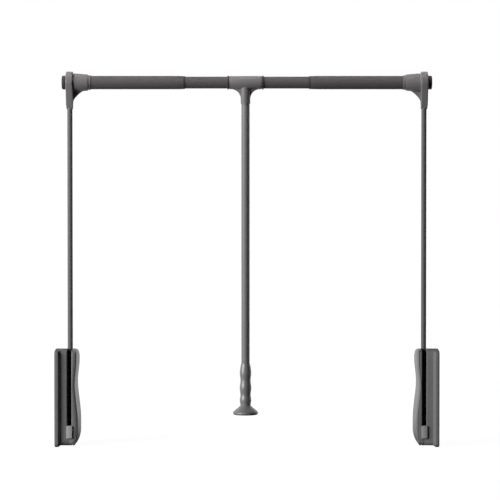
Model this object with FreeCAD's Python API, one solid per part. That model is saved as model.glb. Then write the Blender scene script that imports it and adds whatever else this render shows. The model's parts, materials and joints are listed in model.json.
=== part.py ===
import FreeCAD, Part
import math
import os

# Pull-down closet rod. Millimetres, +Z up, +X to the viewer's right, the user stands at -Y.
# The origin lies midway between the two side walls, at mid depth, at the foot of the mounting plates.
# A housing and its arm are drawn once, with x counted from the wall face inwards, and then placed
# against the left wall and mirrored against the right wall.

# Overall sizes
rail_width = 830.0  # from wall face to wall face
bar_height = 787.0  # axis of the hanging bar
housing_height = 211.0
housing_depth = 116.0
corner_radius = 9.0
lift_angle = 95.0  # degrees from upright to pulled down

# Pivot of the arm in the housing
pivot_y = -20.0
pivot_z = 58.0
pin_radius = 5.0
pin_edge = 0.5
pin_fit = 0.05
arm_x = 32.0  # plane of the arm, counted from the wall

# Fits
seat_fit = 0.05  # between pieces that are fixed to each other
free_gap = 0.4  # between pieces that pass each other

# How closely an edge must lie in a plane, or on a line, to be picked for rounding
same_place = 1e-4

# Mounting plate
plate_thickness = 8.0
plate_skin = 3.0
plate_chamfer = 1.5
wall_hole_radius = 2.75
wall_hole_spacing_y = 64.0
wall_hole_low_z = 35.0
wall_hole_top_drop = 46.0  # below the housing's top
countersink_radius = 5.2
wall_boss_radius = 8.0
pocket_columns = 3
pocket_rows = 5
plate_rib = 3.0
plate_margin = 9.0

# Base shell and cover shell
shell_foot = 3.0
shell_setback = 8.0  # of the shells' front behind the plate's edge
shell_wall = 3.0
plinth_width = 5.0
plinth_inset = 0.6
cover_skin = 2.4
slot_clearance = 1.85
slot_rear_gap = 3.0
slot_bevel = 1.8

# Waved face panel: its outline seen from the front
bulge_x = 50.0
bulge_low_z = 32.0
bulge_high_z = 50.0
foot_round = 60.0
waist_x = 43.4
waist_drop = 66.0  # below the housing's top
crest_x = 47.0
crest_drop = 25.0
crest_round = 8.0
panel_skin = 3.8
panel_edge = 3.0
seam_gap = 0.8
seat_rib_inset = 1.6
seat_rib_width = 2.5
peg_radius = 2.5
peg_inset = 12.0  # from the shells' front and rear
peg_low_z = 34.0
peg_top_drop = 45.0

# Housing screws: places as (y, z)
screw_radius = 2.0
screw_hole_gap = 0.3
screw_head_radius = 4.0
screw_head_height = 2.6
screw_boss_radius = 4.8
screw_bite = 5.5
screw_cover_web = 3.0
screw_inset = 11.0
front_screw_gap = 0.4  # behind the stop block
crown_screw_y = -2.5
crown_screw_drop = 17.0
rear_screw_drop = 9.5  # below the housing's round top

# Stop block
block_width = 12.5
block_height = 27.0
block_depth = 14.0
block_proud = 3.6
block_edge = 1.2
block_lip = 3.0
stop_gap = 0.35
stop_rib = 3.0

# Lever with its gear sector
lever_thickness = 5.0
lever_width = 18.0
lever_shoulder_gap = 0.4
lever_shoulder_round = 3.0
tongue_length = 40.0
tongue_gap = 0.2
gear_module = 2.0
gear_teeth = 18
pressure_angle = 20.0
sector_lead_teeth = 1
sector_trail_teeth = 6
tooth_backlash = 0.2
tooth_root_gap = 0.5
bush_wall = 1.8
washer_radius = 10.0
washer_thickness = 1.0
washer_gap = 0.1
pivot_boss_radius = 10.0
pin_cover_depth = 5.0
pin_base_depth = 10.0

# Rack slider, guide rod, lift spring and damper
slider_x0 = 19.0
slider_x1 = 37.0
slider_reach = 22.0  # from the teeth's pitch line to the back
slider_end_margin = 9.0
guide_x = 25.5
guide_offset = 14.0  # behind the rack's pitch line
guide_radius = 4.0
guide_fit = 0.1
guide_edge = 0.6
guide_block_height = 8.0
guide_top_drop = 29.0  # below the housing's top
spring_wire = 2.4  # across the flats of the six-sided wire
spring_wire_sides = 6
spring_mean_radius = 5.6
spring_turns = 8
damper_offset = 23.0  # behind the guide rod
damper_radius = 6.0
damper_bore_radius = 4.6
damper_top_drop = 31.75
damper_end_wall = 4.0
damper_rod_radius = 2.5
damper_piston_length = 7.0
damper_lug_height = 8.0
damper_lug_half = 5.5
saddle_width = 6.0
saddle_margin = 3.0

# Arm tube
arm_radius = 5.65
arm_wall = 1.2

# Elbow between arm and bar, counted from the arm's plane
elbow_outer = 8.0
elbow_inner = 7.0
elbow_radius = 23.8
elbow_drop = 58.0
elbow_edge = 2.0
leg_radius = 8.0
leg_taper = 11.0
leg_end_wall = 0.8
sleeve_length = 38.5
sleeve_root_radius = 20.0
sleeve_mouth_radius = 17.4
sleeve_barrel = 0.4
sleeve_lip = 3.0
sleeve_lip_radius = 16.1
sleeve_lip_edge = 0.5
sleeve_groove = 3.0
sleeve_groove_depth = 1.8
web_thickness = 5.0
web_drop = 46.0
web_hollow_x = 9.0
web_hollow_drop = 28.2
web_sink = 1.0
tube_stop = 4.0
arm_socket_wall = 9.0
elbow_screw_radius = 2.0
elbow_screw_length = 3.0
key_sides = 6
key_radius = 1.1
key_depth = 1.5

# End cap on the elbow
cap_radius = 15.0
cap_thickness = 9.0
cap_edge = 1.6
cap_spigot_radius = 10.0
cap_spigot_length = 6.0

# Telescopic bar
outer_tube_radius = 14.5
outer_tube_wall = 1.1
outer_tube_mouth = 134.0  # from the middle of the bar, with its guide ring
mouth_taper_length = 10.0
mouth_taper = 0.45
inner_tube_radius = 12.9
inner_tube_wall = 1.2
inner_tube_length = 440.0
bush_length = 24.0
bush_ring_width = 3.5
bush_ring_radius = 14.0
running_fit = 0.06
end_guide_length = 16.0
end_guide_lip = 2.5
end_guide_wall = 2.4

# Tee of the handle
tee_x = -3.0
tee_length = 71.0
tee_radius = 14.25
tee_edge = 1.2
neck_radius = 10.4
neck_drop = 46.0
neck_socket_top = 21.0
tee_web_radius = 21.0
tee_web_thickness = 5.0
ring_width = 3.5
ring_radius = 14.9
ring_gap = 0.3
tee_screw_drop = 36.0
tee_screw_radius = 1.0

# Handle
handle_radius = 9.0
handle_wall = 1.2
grip_top_drop = 608.5  # below the bar's axis
grip_length = 91.0
grip_waist_radius = 10.5
grip_bulge_radius = 12.3
grip_shoulder_radius = 11.3
grip_shoulder = 6.0
grip_bulges = (15.5, 48.5, 77.0)  # below the grip's top
grip_waists = (31.5, 64.5)
grip_floor = 4.0
grip_lip = 0.4
foot_height = 20.0
foot_rim_radius = 26.2
foot_rim = 2.4
foot_rim_round = 2.0
foot_flare_hollow = 0.5
foot_skin = 2.4
foot_spigot_length = 14.0

# Values worked out from the sizes above
V = FreeCAD.Vector
diagonal = math.sqrt(0.5)
half_depth = housing_depth / 2
top_radius = housing_height - pivot_z
shell_front_y = shell_setback - half_depth
plinth_x = plate_thickness + plinth_width
floor_x = plate_thickness + shell_wall
panel_depth = panel_skin + seam_gap
slot_half = lever_thickness / 2 + slot_clearance
slot_rear_y = pivot_y + lever_width / 2 + slot_rear_gap
screw_hole_radius = screw_radius + screw_hole_gap
head_pocket_radius = screw_head_radius + screw_hole_gap
head_seat_x = arm_x + screw_cover_web
over_travel = math.radians(lift_angle - 90.0)
block_front_y = shell_front_y - block_proud
block_rear_y = block_front_y + block_depth
front_screw_y = block_rear_y + front_screw_gap + screw_boss_radius + screw_hole_gap
rear_screw_y = half_depth - screw_inset
rear_screw_rise = math.sqrt((top_radius - rear_screw_drop) ** 2 - (rear_screw_y - pivot_y) ** 2)
screw_places = (
    (front_screw_y, shell_foot + screw_inset),
    (rear_screw_y, shell_foot + screw_inset),
    (crown_screw_y, housing_height - crown_screw_drop),
    (rear_screw_y, pivot_z + rear_screw_rise),
)
peg_heights = (peg_low_z, housing_height - peg_top_drop)
peg_rows = (shell_front_y + peg_inset, half_depth - peg_inset)
peg_places = [(y, z) for y in peg_rows for z in peg_heights]


def lever_edge_z(y):
    """Height of the pulled-down lever's lower edge above the point y."""
    run = pivot_y - y
    return pivot_z - run * math.tan(over_travel) - lever_width / 2 / math.cos(over_travel)


block_top_z = lever_edge_z(block_front_y) - stop_gap
block_low_z = block_top_z - block_height

pitch_radius = gear_module * gear_teeth / 2
base_circle = pitch_radius * math.cos(math.radians(pressure_angle))
tip_radius = pitch_radius + gear_module
root_radius = pitch_radius - gear_module - tooth_root_gap
rack_travel = pitch_radius * math.radians(lift_angle)
rack_y = pivot_y + pitch_radius
tooth_pitch = math.pi * gear_module
slider_low_z = pivot_z - rack_travel - slider_end_margin
slider_top_z = pivot_z + slider_end_margin
guide_y = rack_y + guide_offset
guide_low_z = shell_foot + shell_wall
guide_top_z = housing_height - guide_top_drop
spring_top_z = guide_top_z - guide_block_height
damper_y = guide_y + damper_offset
damper_low_z = slider_top_z + rack_travel + free_gap
damper_top_z = housing_height - damper_top_drop
washer_seat = lever_thickness / 2 + washer_thickness + 2 * washer_gap
bush_radius = pin_radius + pin_fit + bush_wall

shoulder_z = housing_height + lever_shoulder_gap
arm_bore = arm_radius - arm_wall
elbow_x0 = arm_x - elbow_outer
elbow_x1 = arm_x + elbow_inner
sleeve_x1 = elbow_x1 + sleeve_length
leg_low_z = bar_height - elbow_drop
leg_end_radius = arm_radius + seat_fit + leg_end_wall
tube_bore_radius = outer_tube_radius + seat_fit
tube_end_x = elbow_x1 + tube_stop
arm_top_z = bar_height - tube_bore_radius - arm_socket_wall
outer_tube_bore = outer_tube_radius - outer_tube_wall
mouth_x = rail_width / 2 - outer_tube_mouth  # counted from the wall
tube_mouth_x = mouth_x - bush_ring_width
tee_bore_radius = inner_tube_radius + running_fit
grip_top_z = bar_height - grip_top_drop
grip_low_z = grip_top_z - grip_length
foot_low_z = grip_low_z - foot_height
handle_top_z = bar_height - neck_socket_top


def fuse(first, *others):
    """One solid made of touching or overlapping shapes."""
    return first.multiFuse(list(others)).removeSplitter()


def box(x0, x1, y0, y1, z0, z1):
    """Block between two opposite corners."""
    return Part.makeBox(x1 - x0, y1 - y0, z1 - z0, V(x0, y0, z0))


def rod_x(radius, x0, x1, y, z):
    """Cylinder along X."""
    return Part.makeCylinder(radius, x1 - x0, V(x0, y, z), V(1, 0, 0))


def rod_y(radius, y0, y1, x, z):
    """Cylinder along Y."""
    return Part.makeCylinder(radius, y1 - y0, V(x, y0, z), V(0, 1, 0))


def rod_z(radius, z0, z1, x, y):
    """Cylinder along Z."""
    return Part.makeCylinder(radius, z1 - z0, V(x, y, z0), V(0, 0, 1))


def ring_x(outer, inner, x0, x1, y, z):
    """Tube along X."""
    return rod_x(outer, x0, x1, y, z).cut(rod_x(inner, x0, x1, y, z))


def ring_z(outer, inner, z0, z1, x, y):
    """Tube along Z."""
    return rod_z(outer, z0, z1, x, y).cut(rod_z(inner, z0, z1, x, y))


def closed_face(points):
    """Flat face with straight sides."""
    return Part.Face(Part.makePolygon(points + points[:1]))


def line(a, b):
    """Straight edge."""
    return Part.makeLine(a, b)


def arc(a, middle, b):
    """Round edge through three points."""
    return Part.Arc(a, middle, b).toShape()


def curve(points, start=None, end=None):
    """Smooth edge through the points, with set directions at its ends where given."""
    spline = Part.BSplineCurve()
    if start is None:
        spline.interpolate(Points=points)
    else:
        spline.interpolate(Points=points, InitialTangent=start, FinalTangent=end)
    return spline.toShape()


def edges_along_x(shape):
    """Straight edges of a prism that run along X."""
    spans = [(e, e.BoundBox.YLength, e.BoundBox.ZLength) for e in shape.Edges]
    return [e for e, wide, high in spans if wide < same_place and high < same_place]


def edges_in_plane_x(shape, x):
    """Edges that lie in the plane at x."""
    spans = [(e, e.BoundBox.XMin, e.BoundBox.XMax) for e in shape.Edges]
    return [e for e, low, high in spans if abs(low - x) < same_place and abs(high - x) < same_place]


def edges_in_plane_z(shape, z):
    """Edges that lie in the plane at z."""
    spans = [(e, e.BoundBox.ZMin, e.BoundBox.ZMax) for e in shape.Edges]
    return [e for e, low, high in spans if abs(low - z) < same_place and abs(high - z) < same_place]


# Housing


def housing_prism(inset, x0, x1, setback=0, foot=0):
    """Side outline of the housing, drawn in by inset, as a prism along X, its top round about the pivot."""
    front = setback - half_depth + inset
    rear = half_depth - inset
    low = foot + inset
    radius = top_radius - inset

    def crown(y):
        return pivot_z + math.sqrt(radius**2 - (y - pivot_y) ** 2)

    front_low = V(x0, front, low)
    rear_low = V(x0, rear, low)
    rear_high = V(x0, rear, crown(rear))
    front_high = V(x0, front, crown(front))
    edges = [
        line(front_low, rear_low),
        line(rear_low, rear_high),
        arc(rear_high, V(x0, pivot_y, crown(pivot_y)), front_high),
        line(front_high, front_low),
    ]
    prism = Part.Face(Part.Wire(edges)).extrude(V(x1 - x0, 0, 0))
    return prism.makeFillet(corner_radius - inset, edges_along_x(prism))


def shell_prism(inset, x0, x1):
    """Side outline of the two shells, which stand back from the plate's front edge and foot."""
    return housing_prism(inset, x0, x1, shell_setback, shell_foot)


def end_outline(prism, x):
    """Outline of a prism's end face in the plane x."""
    ends = [f for f in prism.Faces if f.BoundBox.XLength < same_place]
    return min(ends, key=lambda face: abs(face.BoundBox.XMin - x)).OuterWire


def wave_block(inset, y=-housing_depth, run=V(0, 2 * housing_depth, 0)):
    """Everything between the wall and the waved face, drawn in by inset, from the plane y along run."""
    foot_centre = V(bulge_x - foot_round, y, bulge_low_z)
    foot_reach = foot_round - inset
    crest_centre = V(crest_x - crest_round, y, housing_height - crest_round)
    crest_reach = crest_round - inset
    foot_start = foot_centre + V(0, 0, -foot_reach)
    foot_middle = foot_centre + V(foot_reach * diagonal, 0, -foot_reach * diagonal)
    bulge_low = foot_centre + V(foot_reach, 0, 0)
    bulge_high = V(bulge_x - inset, y, bulge_high_z)
    waist = V(waist_x - inset, y, housing_height - waist_drop)
    crest_low = V(crest_x - inset, y, housing_height - crest_drop)
    crest_high = crest_centre + V(crest_reach, 0, 0)
    crest_middle = crest_centre + V(crest_reach * diagonal, 0, crest_reach * diagonal)
    crest_end = crest_centre + V(0, 0, crest_reach)
    above = crest_centre + V(0, 0, 2 * crest_round)
    wall_side = -housing_depth
    edges = [
        arc(foot_start, foot_middle, bulge_low),
        line(bulge_low, bulge_high),
        curve([bulge_high, waist, crest_low], V(0, 0, 1), V(0, 0, 1)),
        line(crest_low, crest_high),
        arc(crest_high, crest_middle, crest_end),
        line(crest_end, above),
        line(above, V(wall_side, y, above.z)),
        line(V(wall_side, y, above.z), V(wall_side, y, foot_start.z)),
        line(V(wall_side, y, foot_start.z), foot_start),
    ]
    return Part.Face(Part.Wire(edges)).extrude(run)


def bevelled_wave():
    """The waved block with its front and rear edges bevelled."""
    front_y = shell_front_y + panel_edge
    rear_y = half_depth - panel_edge
    slope = 2 * panel_edge
    middle = wave_block(0, front_y, V(0, rear_y - front_y, 0))
    front = wave_block(0, front_y, V(-slope, -slope, 0))
    rear = wave_block(0, rear_y, V(-slope, slope, 0))
    return fuse(middle, front, rear)


def wall_hole_places():
    """Places (y, z) of the four wall screws."""
    heights = (wall_hole_low_z, housing_height - wall_hole_top_drop)
    return [(side * wall_hole_spacing_y / 2, z) for side in (-1, 1) for z in heights]


def plate_pockets():
    """Hollows in the plate's wall side that leave a grid of ribs."""
    depth = plate_thickness - plate_skin
    width = (housing_depth - 2 * plate_margin - (pocket_columns - 1) * plate_rib) / pocket_columns
    height = (housing_height - 2 * plate_margin - (pocket_rows - 1) * plate_rib) / pocket_rows
    inner = housing_prism(plate_margin - plate_rib, 0, depth)
    pockets = []
    for column in range(pocket_columns):
        for row in range(pocket_rows):
            y = -half_depth + plate_margin + column * (width + plate_rib)
            z = plate_margin + row * (height + plate_rib)
            pockets.append(box(0, depth, y, y + width, z, z + height))
    return inner.common(Part.makeCompound(pockets))


def mounting_plate():
    """Plate that is screwed to the wall: ribbed on the wall side, with four countersunk holes."""
    body = housing_prism(0, 0, plate_thickness)
    body = body.makeChamfer(plate_chamfer, edges_in_plane_x(body, 0))
    bosses = [rod_x(wall_boss_radius, 0, plate_thickness, y, z) for y, z in wall_hole_places()]
    bosses += [rod_x(screw_boss_radius, 0, plate_thickness, y, z) for y, z in screw_places]
    body = body.cut(plate_pockets().cut(Part.makeCompound(bosses)))
    sink = countersink_radius - wall_hole_radius
    for y, z in wall_hole_places():
        body = body.cut(rod_x(wall_hole_radius, 0, plate_thickness, y, z))
        body = body.cut(
            Part.makeCone(
                wall_hole_radius, countersink_radius, sink, V(plate_thickness - sink, y, z), V(1, 0, 0)
            )
        )
    for y, z in screw_places:
        body = body.cut(rod_x(screw_radius + seat_fit, plate_thickness - screw_bite, plate_thickness, y, z))
    return body


def block_window():
    """Opening in the front wall for the stop block."""
    half = block_width / 2 + seat_fit
    rise = (block_proud + shell_wall) * math.tan(over_travel)
    window_top = block_top_z + max(rise, 0) + seat_fit
    window_low = block_low_z - seat_fit
    inner_y = shell_front_y + shell_wall
    return box(arm_x - half, arm_x + half, block_front_y, inner_y, window_low, window_top)


def lever_slot():
    """Opening through the front and top walls that the lever swings in."""
    return box(
        arm_x - slot_half,
        arm_x + slot_half,
        -housing_depth,
        slot_rear_y,
        block_top_z,
        housing_height + lever_shoulder_gap,
    )


def slot_edge_bevel(edge_x, way):
    """Wedge that is cut off a shell's slot edge along the front and top walls."""
    x0, x1 = sorted((edge_x, edge_x + way * 2 * slot_bevel))
    rim = shell_prism(0, x0, x1)
    wedge = rim.cut(rim.makeChamfer(slot_bevel, edges_in_plane_x(rim, edge_x)))
    return wedge.common(box(x0, x1, -housing_depth, slot_rear_y, block_top_z, housing_height))


def open_saddle(radius, y, z0, z1):
    """Block on the base's floor that a rod or tube snaps into from the open side."""
    half = radius + saddle_margin
    block = box(floor_x - shell_wall / 2, guide_x + radius / 2, y - half, y + half, z0, z1)
    return block.cut(rod_z(radius + seat_fit, z0, z1, guide_x, y))


def base_shell():
    """Tray against the mounting plate that holds the pivot, the guide rod and the damper."""
    foot = end_outline(housing_prism(plinth_inset, plate_thickness, plinth_x), plate_thickness)
    top = end_outline(shell_prism(0, plinth_x, arm_x), plinth_x)
    plinth = Part.makeLoft([foot, top], True, True)
    body = fuse(shell_prism(0, plate_thickness, arm_x), plinth)
    body = body.cut(shell_prism(shell_wall, floor_x, arm_x))
    body = body.cut(lever_slot()).cut(slot_edge_bevel(arm_x - slot_half, -1)).cut(block_window())

    rib_top = block_top_z - free_gap
    rib = box(
        floor_x - shell_wall / 2,
        arm_x,
        block_rear_y + seat_fit,
        block_rear_y + seat_fit + stop_rib,
        shell_foot + shell_wall / 2,
        rib_top,
    )
    parts = [rib]
    parts += [rod_x(screw_boss_radius, plate_thickness, arm_x, y, z) for y, z in screw_places]
    parts.append(rod_x(pivot_boss_radius, plate_thickness, arm_x - washer_seat, pivot_y, pivot_z))
    for z in (guide_low_z, guide_top_z - guide_block_height):
        parts.append(open_saddle(guide_radius, guide_y, z, z + guide_block_height))
    for z in (damper_low_z + saddle_margin, damper_top_z - saddle_margin - saddle_width):
        parts.append(open_saddle(damper_radius, damper_y, z, z + saddle_width))
    body = fuse(body, *parts)

    pin_floor = arm_x - washer_seat - pin_base_depth
    body = body.cut(rod_x(pin_radius + seat_fit, pin_floor, arm_x, pivot_y, pivot_z))
    for y, z in screw_places:
        body = body.cut(rod_x(screw_hole_radius, plate_thickness, arm_x, y, z))
    return body


def cover_shell():
    """Inner half of the housing, with the waved face that the panel snaps onto."""
    reach = bulge_x + panel_depth
    outer = shell_prism(0, arm_x, reach).common(wave_block(panel_depth))
    inner = shell_prism(shell_wall, arm_x, reach).common(wave_block(panel_depth + cover_skin))
    body = outer.cut(inner).cut(lever_slot()).cut(slot_edge_bevel(arm_x + slot_half, 1)).cut(block_window())
    parts = [rod_x(screw_boss_radius + screw_hole_gap, arm_x, reach, y, z) for y, z in screw_places]
    parts.append(rod_x(pivot_boss_radius, arm_x + washer_seat, reach, pivot_y, pivot_z))
    body = fuse(body, *[part.common(outer) for part in parts])
    pin_top = arm_x + washer_seat + pin_cover_depth
    body = body.cut(rod_x(pin_radius + seat_fit, arm_x, pin_top, pivot_y, pivot_z))
    for y, z in screw_places:
        body = body.cut(rod_x(screw_hole_radius, arm_x, reach, y, z))
        body = body.cut(rod_x(head_pocket_radius, head_seat_x, reach, y, z))
    for y, z in peg_places:
        body = body.cut(rod_x(peg_radius + seat_fit, arm_x, reach, y, z))
    return body


def face_panel():
    """Waved skin over the cover, standing on a seat rib so that a shadow seam runs round it."""
    reach = bulge_x + panel_depth
    prism = shell_prism(0, arm_x, reach)
    skin = prism.common(bevelled_wave()).cut(wave_block(panel_skin))
    gap = wave_block(panel_skin).cut(wave_block(panel_depth))
    rib = shell_prism(seat_rib_inset, arm_x, reach)
    rib = rib.cut(shell_prism(seat_rib_inset + seat_rib_width, arm_x, reach))
    pegs = wave_block(panel_skin / 2).cut(wave_block(panel_depth + cover_skin))
    pegs = pegs.common(Part.makeCompound([rod_x(peg_radius, arm_x, reach, y, z) for y, z in peg_places]))
    return fuse(skin, rib.common(gap), pegs)


def housing_screws():
    """Four long screws from the cover into the mounting plate."""
    tip_x = plate_thickness - screw_bite + seat_fit
    screws = []
    for y, z in screw_places:
        shank = rod_x(screw_radius, tip_x, head_seat_x + screw_head_height / 2, y, z)
        head = rod_x(screw_head_radius, head_seat_x, head_seat_x + screw_head_height, y, z)
        screws.append(fuse(shank, head))
    return Part.makeCompound(screws)


def stop_block():
    """Cushion at the slot's foot that the pulled-down lever comes to rest on."""
    front_top = V(arm_x - block_width / 2, block_front_y, block_top_z)
    rear_top = V(front_top.x, block_rear_y, block_top_z + block_depth * math.tan(over_travel))
    front_low = V(front_top.x, block_front_y, block_low_z)
    rear_low = V(front_top.x, block_rear_y, block_low_z)
    body = closed_face([front_low, rear_low, rear_top, front_top]).extrude(V(block_width, 0, 0))
    lip_y = shell_front_y + shell_wall + seat_fit
    lip = box(
        arm_x - block_width / 2,
        arm_x + block_width / 2,
        lip_y,
        block_rear_y,
        block_low_z - block_lip,
        block_low_z,
    )
    body = fuse(body, lip)
    rounded = [e for e in edges_along_x(body) if e.BoundBox.YMax < shell_front_y]
    return body.makeFillet(block_edge, rounded)


# Mechanism in the housing


def involute_spread(radius):
    """Angle of an involute between its base circle and a radius."""
    slope = math.acos(min(1.0, base_circle / radius))
    return math.tan(slope) - slope


def gear_point(radius, angle):
    """Point on the sector at a radius and an angle from the rear (+Y) towards the top."""
    return V(
        arm_x - lever_thickness / 2,
        pivot_y + radius * math.cos(angle),
        pivot_z + radius * math.sin(angle),
    )


def gear_tooth(angle):
    """One involute tooth of the lever's sector, reaching into the hub."""
    half_pitch = math.pi / (2 * gear_teeth) - tooth_backlash / (2 * pitch_radius)
    pitch_spread = half_pitch + involute_spread(pitch_radius)
    flank_steps = 4
    radii = [base_circle + (tip_radius - base_circle) * i / flank_steps for i in range(flank_steps + 1)]
    upper = [gear_point(r, angle + pitch_spread - involute_spread(r)) for r in radii]
    lower = [gear_point(r, angle - pitch_spread + involute_spread(r)) for r in radii]
    hub = root_radius - tooth_root_gap
    upper_root = gear_point(hub, angle + pitch_spread)
    lower_root = gear_point(hub, angle - pitch_spread)
    edges = [
        line(lower_root, lower[0]),
        curve(lower),
        arc(lower[-1], gear_point(tip_radius, angle), upper[-1]),
        curve(upper[::-1]),
        line(upper[0], upper_root),
        line(upper_root, lower_root),
    ]
    return Part.Face(Part.Wire(edges)).extrude(V(lever_thickness, 0, 0))


def lever():
    """Flat steel lever: gear sector at the pivot, blade through the slot, tongue in the arm tube."""
    x0 = arm_x - lever_thickness / 2
    x1 = arm_x + lever_thickness / 2
    blade = box(x0, x1, pivot_y - lever_width / 2, pivot_y + lever_width / 2, pivot_z, shoulder_z)
    shoulders = [e for e in edges_along_x(blade) if e.BoundBox.ZMin > shoulder_z - free_gap]
    blade = blade.makeFillet(lever_shoulder_round, shoulders)
    tongue_half = math.sqrt(arm_bore**2 - (lever_thickness / 2) ** 2) - tongue_gap
    tongue = box(
        x0, x1, pivot_y - tongue_half, pivot_y + tongue_half, shoulder_z - lever_width / 2,
        shoulder_z + tongue_length,
    )
    hub = rod_x(root_radius, x0, x1, pivot_y, pivot_z)
    step = 2 * math.pi / gear_teeth
    teeth = [gear_tooth(-index * step) for index in range(-sector_lead_teeth, sector_trail_teeth + 1)]
    body = fuse(hub, blade, tongue, *teeth)
    return body.cut(rod_x(bush_radius + seat_fit, x0, x1, pivot_y, pivot_z))


def pivot_pin():
    """Steel pin across the housing that the arm turns on."""
    x0 = arm_x - washer_seat - pin_base_depth
    x1 = arm_x + washer_seat + pin_cover_depth
    pin = rod_x(pin_radius, x0, x1, pivot_y, pivot_z)
    return pin.makeChamfer(pin_edge, edges_in_plane_x(pin, x0) + edges_in_plane_x(pin, x1))


def pivot_bush():
    """Plain bearing in the lever's hub."""
    return ring_x(
        bush_radius,
        pin_radius + pin_fit,
        arm_x - lever_thickness / 2,
        arm_x + lever_thickness / 2,
        pivot_y,
        pivot_z,
    )


def pivot_washers():
    """Thrust washers between the lever and the bosses of the two shells."""
    near = lever_thickness / 2 + washer_gap
    washers = []
    for x0 in (arm_x - near - washer_thickness, arm_x + near):
        washers.append(
            ring_x(washer_radius, pin_radius + pin_fit, x0, x0 + washer_thickness, pivot_y, pivot_z)
        )
    return Part.makeCompound(washers)


def rack_profile(x):
    """Outline of the toothed slider: straight-sided rack teeth that mesh with the sector."""
    tan_flank = math.tan(math.radians(pressure_angle))
    tip_y = rack_y - gear_module
    root_y = rack_y + gear_module + tooth_root_gap
    half_tip = tooth_pitch / 4 - gear_module * tan_flank - tooth_backlash / 2
    half_root = tooth_pitch / 4 + (gear_module + tooth_root_gap) * tan_flank - tooth_backlash / 2
    points = [V(x, rack_y + slider_reach, slider_low_z), V(x, root_y, slider_low_z)]
    count = int((slider_top_z - slider_low_z) / tooth_pitch)
    top_tooth_z = pivot_z + tooth_pitch / 2
    for index in reversed(range(count)):
        z = top_tooth_z - index * tooth_pitch
        points.append(V(x, root_y, z - half_root))
        points.append(V(x, tip_y, z - half_tip))
        points.append(V(x, tip_y, z + half_tip))
        points.append(V(x, root_y, z + half_root))
    points.append(V(x, root_y, slider_top_z))
    points.append(V(x, rack_y + slider_reach, slider_top_z))
    return points


def rack_slider():
    """Slider that the sector lifts on the guide rod; its lug carries the damper's rod."""
    body = closed_face(rack_profile(slider_x0)).extrude(V(slider_x1 - slider_x0, 0, 0))
    lug = box(
        guide_x - damper_lug_half,
        guide_x + damper_lug_half,
        guide_y,
        damper_y + damper_lug_half,
        slider_top_z - damper_lug_height,
        slider_top_z,
    )
    body = fuse(body, lug)
    body = body.cut(rod_z(guide_radius + guide_fit, slider_low_z, slider_top_z, guide_x, guide_y))
    rod_hole = damper_rod_radius + seat_fit
    return body.cut(rod_z(rod_hole, slider_top_z - damper_lug_height, slider_top_z, guide_x, damper_y))


def guide_rod():
    """Fixed upright rod that guides the slider and the lift spring."""
    rod = rod_z(guide_radius, guide_low_z, guide_top_z, guide_x, guide_y)
    ends = edges_in_plane_z(rod, guide_low_z) + edges_in_plane_z(rod, guide_top_z)
    return rod.makeChamfer(guide_edge, ends)


def biarc(start, start_way, end, end_way):
    """Two arcs that join two points smoothly in the given directions."""
    chord = end - start
    ways = start_way + end_way
    spread = 2 * (1 - start_way.dot(end_way))
    along = chord.dot(ways)
    reach = (math.sqrt(along**2 + spread * chord.dot(chord)) - along) / spread
    first = start + start_way * reach
    second = end - end_way * reach
    joint = (first + second) / 2

    def round_edge(a, corner, b):
        middle = (a + b) / 2
        half = (b - a).Length / 2
        lean = math.acos(half / (corner - a).Length)
        crown = middle + (corner - middle).normalize() * half * math.tan(lean / 2)
        return arc(a, crown, b)

    return [round_edge(start, first, joint), round_edge(joint, second, end)]


def lift_spring():
    """Compression spring on the guide rod, between the slider and the upper seat."""
    low = slider_top_z + spring_wire / 2 + seat_fit
    high = spring_top_z - spring_wire / 2 - seat_fit
    quarters = 4 * spring_turns
    pitch = (high - low) / spring_turns
    rise = pitch / (2 * math.pi * spring_mean_radius)

    def point(quarter):
        angle = quarter * math.pi / 2
        return V(
            guide_x + spring_mean_radius * math.cos(angle),
            guide_y + spring_mean_radius * math.sin(angle),
            low + (high - low) * quarter / quarters,
        )

    def way(quarter):
        angle = quarter * math.pi / 2
        return V(-math.sin(angle), math.cos(angle), rise).normalize()

    edges = []
    for quarter in range(quarters):
        edges += biarc(point(quarter), way(quarter), point(quarter + 1), way(quarter + 1))
    path = Part.Wire(edges)
    section = wire_section(point(0), way(0))
    print("lift spring: least gap between turns", round(spring_self_gap(path, pitch), 2), "mm")
    return path.makePipeShell([section], True, False)


def wire_section(centre, way):
    """Six-sided section of the spring's wire, square to its way."""
    corner = spring_wire / 2 / math.cos(math.pi / spring_wire_sides)
    outwards = V(1, 0, 0)
    upwards = way.cross(outwards).normalize()
    points = []
    for index in range(spring_wire_sides + 1):
        angle = 2 * math.pi * index / spring_wire_sides
        points.append(centre + outwards * corner * math.cos(angle) + upwards * corner * math.sin(angle))
    return Part.makePolygon(points)


def spring_self_gap(path, pitch):
    """Least free distance between points of the wire that lie more than half a turn apart."""
    points = [edge.valueAt(edge.FirstParameter) for edge in path.Edges]
    points += [(edge.valueAt((edge.FirstParameter + edge.LastParameter) / 2)) for edge in path.Edges]
    least = pitch
    for first in points:
        for second in points:
            if second.z - first.z > pitch / 2:
                least = min(least, (second - first).Length)
    return least - spring_wire


def damper_body():
    """Cylinder of the damper, open at the lower end for the rod."""
    body = rod_z(damper_radius, damper_low_z, damper_top_z, guide_x, damper_y)
    chamber_low = damper_low_z + damper_end_wall
    chamber_top = damper_top_z - damper_end_wall
    chamber = rod_z(damper_bore_radius, chamber_low, chamber_top, guide_x, damper_y)
    mouth = rod_z(damper_rod_radius + running_fit, damper_low_z, chamber_top, guide_x, damper_y)
    return body.cut(fuse(chamber, mouth))


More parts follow.
